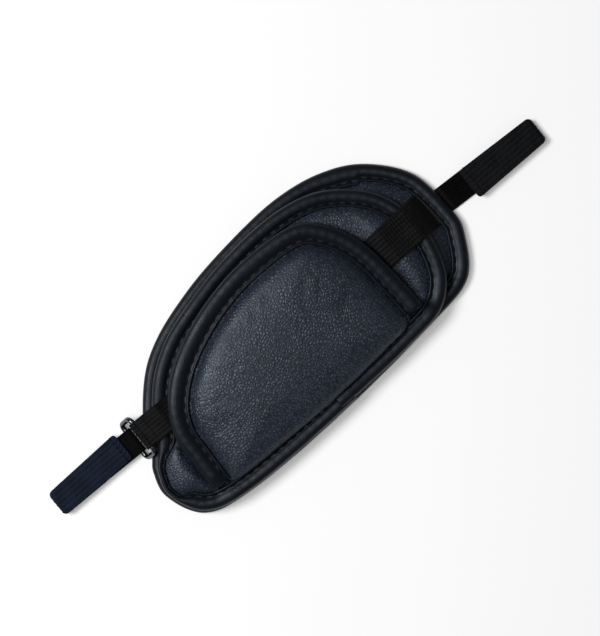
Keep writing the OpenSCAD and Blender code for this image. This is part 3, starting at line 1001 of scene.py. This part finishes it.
def along_path(path, step):
    """The path's points at equal steps, as (x, z, nx, nz, distance)."""
    s = run_length(path)
    count = max(2, int(s[-1] / step))
    out, k = [], 0
    for i in range(count + 1):
        want = s[-1] * i / count
        while k < len(s) - 2 and s[k + 1] < want:
            k += 1
        t = (want - s[k]) / (s[k + 1] - s[k])
        (x0, z0), (x1, z1) = path[k], path[k + 1]
        out.append([x0 + t * (x1 - x0), z0 + t * (z1 - z0), want])
    result = []
    for i, (x, z, want) in enumerate(out):
        a, b = out[max(i - 1, 0)], out[min(i + 1, count)]
        dx, dz = b[0] - a[0], b[1] - a[1]
        size = math.hypot(dx, dz) or 1
        result.append((x, z, -dz / size, dx / size, want))
    return result


def band(name, path, sides, thick, relief, yarn, depth, material, tilt=lambda x: 0.0, step=0.3):
    """A woven band. path lists (x, z) of its middle; sides(s, length) gives the two edges in Y;
    tilt(x) is how much z rises for each mm of Y."""
    stations = along_path(path, step)
    length = stations[-1][4]
    y0, y1 = sides(0, length, stations[0][0])
    cols = int((y1 - y0) / step) + 1
    points = []
    for side in (1, -1):
        for x, z, nx, nz, s in stations:
            lo, hi = sides(s, length, x)
            for j in range(cols + 1):
                w = (hi - lo) * j / cols
                y = lo + w
                edge = min(w, hi - lo - w)
                slub = 0.85 + 0.4 * noise.noise((s * 0.6, w * 0.9, 3.0))
                h = depth * relief(w, s, *yarn) * slub * smooth01(edge / 0.5)
                half = (thick / 2 - depth) * math.sqrt(smooth01(0.25 + edge / 0.6)) + h
                points.append((x + side * nx * half, y, z + side * nz * half + tilt(x) * (y - (lo + hi) / 2)))
    rows, width = len(stations), cols + 1
    size = rows * width
    faces = []
    for i in range(rows - 1):
        for j in range(cols):
            a = i * width + j
            faces.append((a, a + 1, a + width + 1, a + width))
            b = size + a
            faces.append((b, b + width, b + width + 1, b + 1))
    for i in range(rows - 1):
        for a, flip in ((i * width, False), (i * width + cols, True)):
            quad = (a, a + width, size + a + width, size + a)
            faces.append(quad[::-1] if flip else quad)
    for j in range(cols):
        for a, flip in ((j, True), ((rows - 1) * width + j, False)):
            quad = (a, a + 1, size + a + 1, size + a)
            faces.append(quad[::-1] if flip else quad)
    obj = mesh_object(name, points, faces, material)
    bpy.context.view_layer.update()
    fix_normals(obj)
    print(name, round(length), "mm long,", len(faces), "faces")
    return obj


def fix_normals(obj):
    work = bmesh.new()
    work.from_mesh(obj.data)
    bmesh.ops.recalc_face_normals(work, faces=work.faces)
    work.to_mesh(obj.data)
    work.free()


print("weave height at a crossing:", round(weave(0.5, 0.5, 1, 1), 2))

# %% [markdown]
# ## The right webbing
# It comes out from under the top pad, crosses the middle panel and its binding, drops to the large
# panel and ends under the large pad's rolled edge. Instead of guessing its height, the pads' own
# surfaces are felt from above with rays, and the band is laid over the result like a stretched
# ribbon that bridges hollows.

# %% The right webbing
def surface_under(objects):
    graph = bpy.context.evaluated_depsgraph_get()
    trees = [BVHTree.FromObject(obj, graph) for obj in objects]

    def height(x, y):
        best = 0.0
        for tree in trees:
            hit = tree.ray_cast(Vector((x * MM, y * MM, 0.1)), Vector((0, 0, -1)))[0]
            if hit:
                best = max(best, hit.z / MM)
        return best
    return height


below = surface_under([panels["large"], panels["middle"], large_binding, middle_binding])


def laid(xs, ys, clear, ceiling=lambda x: FREE, slack=0.5):
    """(x, z) of a band over the pads: the highest point across its width, then bridged."""
    top = [min(max(below(x, y) for y in ys) + clear, ceiling(x)) for x in xs]
    z = list(top)
    for _ in range(60):
        z = [z[0]] + [max(top[i], slack * (z[i - 1] + z[i + 1]) / 2 + (1 - slack) * z[i])
                      for i in range(1, len(z) - 1)] + [z[-1]]
    return list(zip(xs, z))


def under_top_pad(x):
    if x > 44.5:
        return FREE
    return middle_plane(-1) + top_plane(-1) - WEB_ROOM + 0.75


right_xs = [28 + 0.8 * i for i in range(int((80.4 - 28) / 0.8) + 1)]
right_path = laid(right_xs, (-7, -3, 0, 3, 6), 0.65, under_top_pad)
right_path = [(x, z) for x, z in right_path if x < 68] + [(70.6, 6.4), (73, 4.2), (75, 3.45), (79.7, 3.4)]
webbing_right = band("right_webbing", right_path,
                     lambda s, n, x: (-8.6 + 1.3 * smooth01(s / n) - 0.4, 7.2 + 2.6 * smooth01(s / n)),
                     1.15, weave, (1.9, 1.45), 0.34, WEBBING,
                     tilt=lambda x: math.tan(TILT_MIDDLE) * (1 - smooth01((x - 64) / 8)), step=0.26)
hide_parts("webbing_right")
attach(webbing_right, "pads")

# %% [markdown]
# ## The left webbing and the ring
# A narrower band comes out on the left, rolls round the bar of the metal ring and goes back under
# itself. The ring is the frame's own solid, with plated metal on it.

# %% The left webbing and the ring
RING_BAR = Vector((-84.4, 10.2))
STRAP_BAR = Vector((-89.6, 2.38))
WIRE_ROOM = 1.28


def loop_round(bar, radius, from_angle, to_angle, steps=14):
    out = []
    for i in range(steps + 1):
        a = math.radians(from_angle + (to_angle - from_angle) * i / steps)
        out.append((bar.x + radius * math.cos(a), bar.y + radius * math.sin(a)))
    return out


left_xs = [-60 - 0.8 * i for i in range(int((80.8 - 60) / 0.8) + 1)]
upper = laid(left_xs, (-3, 0, 3, 6, 9), 1.75,
             lambda x: FREE if x < -71.5 else middle_plane(0) + top_plane(0) - WEB_ROOM + 0.8)
lower = laid([x for x in left_xs if x < -75.5], (-3, 0, 3), 0.6)
eye = loop_round(RING_BAR, WIRE_ROOM + 0.55, 60, 300)
left_path = upper + eye + lower[::-1]
webbing_left = band("left_webbing", left_path, lambda s, n, x: (-3.9, 9.7), 1.05, weave, (1.8, 1.35), 0.30,
                    WEBBING, step=0.26,
                    tilt=lambda x: math.tan(TILT_MIDDLE) * smooth01((x + 82) / 6))
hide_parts("webbing_left")
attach(webbing_left, "pads")

ring = frame["nodes"]["ring"]
ring.data.materials.clear()
ring.data.materials.append(METAL)

# %% [markdown]
# ## Straps
# Each strap is a band that leaves the pad, carries loop pile on its upper face, folds back over
# itself at its far end and presses a hook patch on the pile. One band can bend at one joint only,
# so it is made in two runs that meet under the tail: a leg that bends at its root, and a loop that
# opens at the fold.

# %% Straps
BAND_T = 1.1
FOLD_X = 131.4
FOLD_R = 2.21
FOLD_MID_R = FOLD_R - BAND_T / 2
JOIN_X = 110
TAIL_X = 94.4
RIB = (2.1, 1.1)
RIB_DEPTH = 0.36


def fold_path(way, join_x, tail_x):
    """From join_x out to the fold, round it, and back over to tail_x. way is 1 right, -1 left."""
    low, high = BAND_T / 2, 2 * FOLD_R - BAND_T / 2
    path = [(way * join_x, low), (way * (FOLD_X - 4), low)]
    for i in range(13):
        a = math.radians(-90 + 180 * i / 12)
        path.append((way * (FOLD_X + FOLD_MID_R * math.cos(a)), FOLD_R + FOLD_MID_R * math.sin(a)))
    return path + [(way * (FOLD_X - 4), high), (way * (tail_x + 2), high + 0.05), (way * tail_x, high - 0.1)]


def between(x, x0, a, x1, b):
    t = min(1.0, max(0.0, (x - x0) / (x1 - x0)))
    return (a[0] + (b[0] - a[0]) * t, a[1] + (b[1] - a[1]) * t)


def leg_sides(root, join):
    return lambda s, n, x: between(s / n, 0, root, 1, join)


def loop_sides(join, fold, tail):
    """The band's edges from the join to the fold, and from there to the wider tail end, whose
    corners are rounded."""
    half = FOLD_X - JOIN_X + math.pi * FOLD_MID_R / 2

    def corner(gone, size):
        return size - math.sqrt(max(0.0, size ** 2 - max(0.0, size - gone) ** 2))

    def sides(s, n, x):
        low, high = between(s, 0, join, half, fold) if s < half else between(s, half, fold, n, tail)
        trim = corner(n - s, 1.6) + 0.7 * corner(FOLD_X + FOLD_MID_R - abs(x), 2.2)
        return low + trim, high - trim
    return sides


right_leg = band("right_strap_leg", [(72, 0.55), (82, 0.55), (JOIN_X, 0.55)],
                 leg_sides((-6.3, 6.0), (-7.2, 5.1)), BAND_T, ribs, RIB, RIB_DEPTH, BAND)
right_loop = band("right_strap_loop", fold_path(1, JOIN_X, TAIL_X),
                  loop_sides((-7.2, 5.1), (-8.3, 4.5), (-9.5, 5.5)), BAND_T, ribs, RIB, RIB_DEPTH, BAND)
left_eye = loop_round(STRAP_BAR, WIRE_ROOM + 0.5, 150, -90)
left_leg = band("left_strap_leg", [(-99, 2.35), (-95, 2.6)] + left_eye + [(-93, 0.55), (-JOIN_X, 0.55)],
                lambda s, n, x: (-3.1, 8.9), 0.95, ribs, (0.95, 0.8), 0.12, PILE)
left_loop = band("left_strap_loop", fold_path(-1, JOIN_X, TAIL_X),
                 loop_sides((-3.2, 8.7), (-3.5, 8.7), (-2.4, 11.0)), BAND_T, ribs, RIB, RIB_DEPTH, BAND_BLUE)
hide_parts("right_strap_root", "right_strap_band")
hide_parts("right_strap_tail")
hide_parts("left_strap_band")
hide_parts("left_strap_tail")
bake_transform(right_leg)
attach(left_leg, "left_strap")
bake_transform(right_loop)
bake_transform(left_loop)

# %% [markdown]
# ## Hook and loop
# Loop pile is a felt of tiny arches, and hook tape a field of stiff little hooks in rows. Both are
# the same idea: a small bent wire scattered over a flat patch, so one Geometry Nodes tree grows
# either, with a fixed seed.

# %% Hook and loop
def fuzz_tree():
    tree = new_tree("bent_wires", [
        ("Patch", "Geometry", None), ("Density", "Float", 2.0e6), ("Radius", "Float", 0.35 * MM),
        ("Wire", "Float", 0.06 * MM), ("Sweep", "Float", 3.6), ("Seed", "Int", 3),
        ("Fibre", "Material", None)], "Field")
    start, end = add_node(tree, "NodeGroupInput"), add_node(tree, "NodeGroupOutput")
    scatter = add_node(tree, "GeometryNodeDistributePointsOnFaces")
    arc = add_node(tree, "GeometryNodeCurveArc", Resolution=7)
    arc.inputs["Start Angle"].default_value = -0.25
    stand = add_node(tree, "GeometryNodeTransform", Rotation=(math.pi / 2, 0, 0))
    section = add_node(tree, "GeometryNodeCurvePrimitiveCircle", Resolution=3)
    tube = add_node(tree, "GeometryNodeCurveToMesh")
    place = add_node(tree, "GeometryNodeInstanceOnPoints")
    spin = add_node(tree, "FunctionNodeRandomValue", data_type="FLOAT_VECTOR",
                    Min=(-0.3, -0.3, -3.1416), Max=(0.3, 0.3, 3.1416))
    real = add_node(tree, "GeometryNodeRealizeInstances")
    paint = add_node(tree, "GeometryNodeSetMaterial")
    join_up(tree, [
        (start, "Patch", scatter, "Mesh"), (start, "Density", scatter, "Density"),
        (start, "Seed", scatter, "Seed"), (start, "Radius", arc, "Radius"),
        (start, "Sweep", arc, "Sweep Angle"), (start, "Wire", section, "Radius"),
        (arc, 0, stand, "Geometry"), (stand, 0, tube, "Curve"), (section, 0, tube, "Profile Curve"),
        (scatter, "Points", place, "Points"), (tube, 0, place, "Instance"),
        (spin, 0, place, "Rotation"), (start, "Seed", spin, "Seed"), (place, 0, real, 0),
        (real, 0, paint, 0), (start, "Fibre", paint, "Material"), (paint, 0, end, 0)])
    return tree


FUZZ_TREE = fuzz_tree()


def join(name, pieces):
    work = bmesh.new()
    for obj in pieces:
        work.from_mesh(obj.data)
    mesh = bpy.data.meshes.new(name)
    work.to_mesh(mesh)
    work.free()
    mesh.materials.append(pieces[0].data.materials[0])
    for piece in pieces:
        bpy.data.objects.remove(piece)
    return new_object(name, mesh)


def slab(name, corners, z0, z1, material):
    """A flat patch on four corners, given in order round it."""
    points = [(x, y, z) for z in (z0, z1) for x, y in corners]
    faces = [(3, 2, 1, 0), (4, 5, 6, 7), (0, 1, 5, 4), (1, 2, 6, 5), (2, 3, 7, 6), (3, 0, 4, 7)]
    return mesh_object(name, points, faces, material, flat=True)


def patch_corners(near, far, margin):
    """Corners of a tapered patch, from (x, low y, high y) at each end."""
    way = 1 if far[0] > near[0] else -1
    a, b = near[0] + way * margin, far[0] - way * margin
    line = [(a, near[1] + margin), (b, far[1] + margin), (b, far[2] - margin), (a, near[2] - margin)]
    return line if way > 0 else line[::-1]


def field(name, node, near, far, up, wires_of, material, seed):
    """A patch with its wires at the node's height. up is 1 for wires on top, -1 underneath.
    wires_of is (wires per square mm, arch radius, wire radius, sweep of the arch)."""
    low, high = (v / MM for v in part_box(node))
    inner = 0.55
    z0, z1 = (low.z, low.z + inner) if up > 0 else (high.z - inner, high.z)
    backing = slab(name + "_backing", patch_corners(near, far, 0.4), z0, z1, material)
    z = z1 if up > 0 else z0
    corners = [(x, y, z) for x, y in patch_corners(near, far, 0.9)]
    sheet = mesh_object(name + "_sheet", corners, [(0, 1, 2, 3)], material, flat=True)
    density, radius, wire, sweep = wires_of
    values = {"Density": density * 1e6, "Radius": radius * MM, "Wire": wire * MM, "Sweep": sweep, "Seed": seed}
    wires = grown(name + "_wires", sheet, FUZZ_TREE, values, "Fibre", material)
    if up < 0:
        for v in wires.data.vertices:
            v.co.z = 2 * z * MM - v.co.z
        wires.data.flip_normals()
    obj = join(name, [backing, wires])
    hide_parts(node)
    print(name, len(obj.data.polygons), "faces")
    return obj


LOOPS = (4.5, 0.34, 0.06, 3.6)
HOOKS = (1.6, 0.12, 0.05, 4.2)
right_pile = field("right_loop_pile", "right_pile_patch", (83.2, -6.3, 6.0), (128.6, -8.0, 4.4), 1,
                   LOOPS, PILE, 3)
left_pile = field("left_loop_pile", "left_pile_patch", (-95.4, -3.2, 8.7), (-128.6, -3.4, 8.6), 1,
                  LOOPS, PILE, 5)
right_hooks = field("right_hook_tape", "right_hook_patch", (95, -9.4, 5.4), (128.6, -8.4, 4.6), -1,
                    HOOKS, HOOK, 7)
left_hooks = field("left_hook_tape", "left_hook_patch", (-95, -2.4, 10.9), (-128.6, -3.6, 8.8), -1,
                   HOOKS, HOOK, 9)
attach(right_pile, "right_strap")
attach(left_pile, "left_strap")
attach(right_hooks, "right_tail")
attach(left_hooks, "left_tail")

# %% [markdown]
# ## Hems
# The free end of each tail is hemmed: stitched down across its width. It is the same stitch as the
# binding's, shorter and set closer.

# %% Hems
def across_row(name, x, y0, y1, z, body_name):
    row = stitches(name, [(x, y0, z), (x, y1, z)], TO_METRES, pitch=2.1, length=0.85, thick=0.3)
    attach(row, body_name)


TAIL_TOP = 2 * FOLD_R
across_row("right_tail_hem", 97.0, -8.9, 4.9, TAIL_TOP, "right_tail")
across_row("left_tail_hem", -97.0, -1.9, 10.3, TAIL_TOP, "left_tail")
print("hems sewn at", round(TAIL_TOP, 2), "mm")

# %% [markdown]
# ## What is left of the frame
# One small frame part still shows: the leather tab that ties the top pad to the sewn edge. It gets
# the panels' leather.

# %% What is left of the frame
tab = frame["nodes"]["small_spine_tab"]
tab.data.materials.clear()
tab.data.materials.append(PANEL)
print("tab painted")
